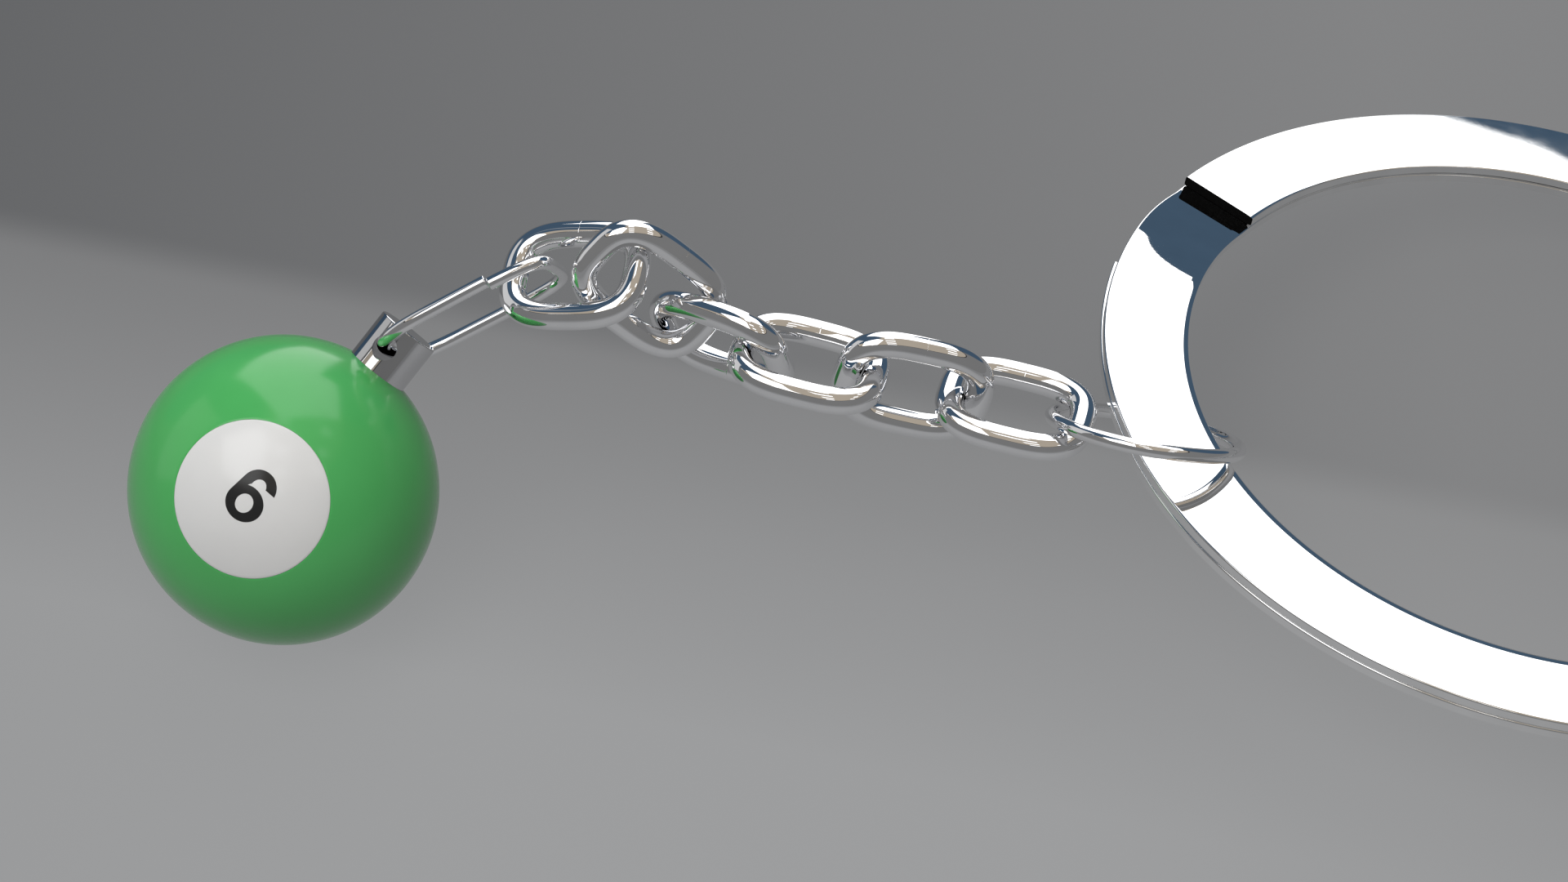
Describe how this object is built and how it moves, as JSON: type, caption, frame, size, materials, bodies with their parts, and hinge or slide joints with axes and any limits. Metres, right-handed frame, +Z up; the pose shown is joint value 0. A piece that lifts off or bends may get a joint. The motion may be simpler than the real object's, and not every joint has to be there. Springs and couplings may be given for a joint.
{
  "type": "pool ball key chain",
  "caption": "Green numbered pool ball on a chrome link chain with an oval ring, a jump ring and a flat split key ring.",
  "frame": {"origin": "on the surface it stands on, under the middle of its bounding box", "axes": "+X from the ball to the split ring, +Y across the chain, +Z up"},
  "size_m": [0.1531, 0.0746, 0.0326],
  "materials": {
    "ball_green": "glossy",
    "disc_white": "glossy",
    "numeral_black": "glossy",
    "cap_chrome": "polished",
    "link_chrome": "polished",
    "small_ring_chrome": "polished",
    "ring_steel": "polished"
  },
  "bodies": {
    "split_ring": {"split_ring": "ring_steel"},
    "jump_ring": {"jump_ring": "small_ring_chrome"},
    "link_6": {"chain_link_6": "link_chrome"},
    "link_5": {"chain_link_5": "link_chrome"},
    "link_4": {"chain_link_4": "link_chrome"},
    "link_3": {"chain_link_3": "link_chrome"},
    "link_2": {"chain_link_2": "link_chrome"},
    "link_1": {"chain_link_1": "link_chrome"},
    "oval_ring": {"oval_ring": "small_ring_chrome"},
    "ball": {"ball_body": "ball_green", "number_disc_front": "disc_white", "number_disc_back": "disc_white", "numeral_front": "numeral_black", "numeral_back": "numeral_black", "end_cap": "cap_chrome"}
  },
  "joints": [
    {"name": "jump_ring_travel", "type": "hinge", "parent": "split_ring", "child": "jump_ring", "pos_m": [0.04005, 0, 0.0089], "axis": [0.214, 0.008, 0.9768], "range_deg": [-180, 180]},
    {"name": "link_6_swing", "type": "hinge", "parent": "jump_ring", "child": "link_6", "pos_m": [-0.0005, -0.00375, 0.01615], "axis": [0.0483, 0.8333, -0.5507], "range_deg": [-40, 80]},
    {"name": "link_5_swing", "type": "hinge", "parent": "link_6", "child": "link_5", "pos_m": [-0.0092, -0.0039, 0.0191], "axis": [0.2756, 0.9613, 0], "range_deg": [-60, 60]},
    {"name": "link_4_swing", "type": "hinge", "parent": "link_5", "child": "link_4", "pos_m": [-0.0174, -0.0036, 0.02175], "axis": [0.2977, 0.0614, 0.9527], "range_deg": [-60, 60]},
    {"name": "link_3_swing", "type": "hinge", "parent": "link_4", "child": "link_3", "pos_m": [-0.0255, -0.0014, 0.02325], "axis": [0.2841, 0.9574, -0.0517], "range_deg": [-50, 60]},
    {"name": "link_2_swing", "type": "hinge", "parent": "link_3", "child": "link_2", "pos_m": [-0.02885, 0.0006, 0.02575], "axis": [-0.812, 0.574, -0.106], "range_deg": [0, 80]},
    {"name": "link_1_swing", "type": "hinge", "parent": "link_2", "child": "link_1", "pos_m": [-0.03375, 0.00245, 0.0283], "axis": [0.0037, -0.9712, 0.2381], "range_deg": [-70, 20]},
    {"name": "oval_ring_swing", "type": "hinge", "parent": "link_1", "child": "oval_ring", "pos_m": [-0.04375, 0.00605, 0.0258], "axis": [0.2379, 0.9001, 0.365], "range_deg": [-50, 50]},
    {"name": "ball_swing", "type": "hinge", "parent": "oval_ring", "child": "ball", "pos_m": [-0.05409, 0.0032, 0.021], "axis": [-0.1959, -0.6337, 0.7483], "range_deg": [-60, 60]}
  ]
}
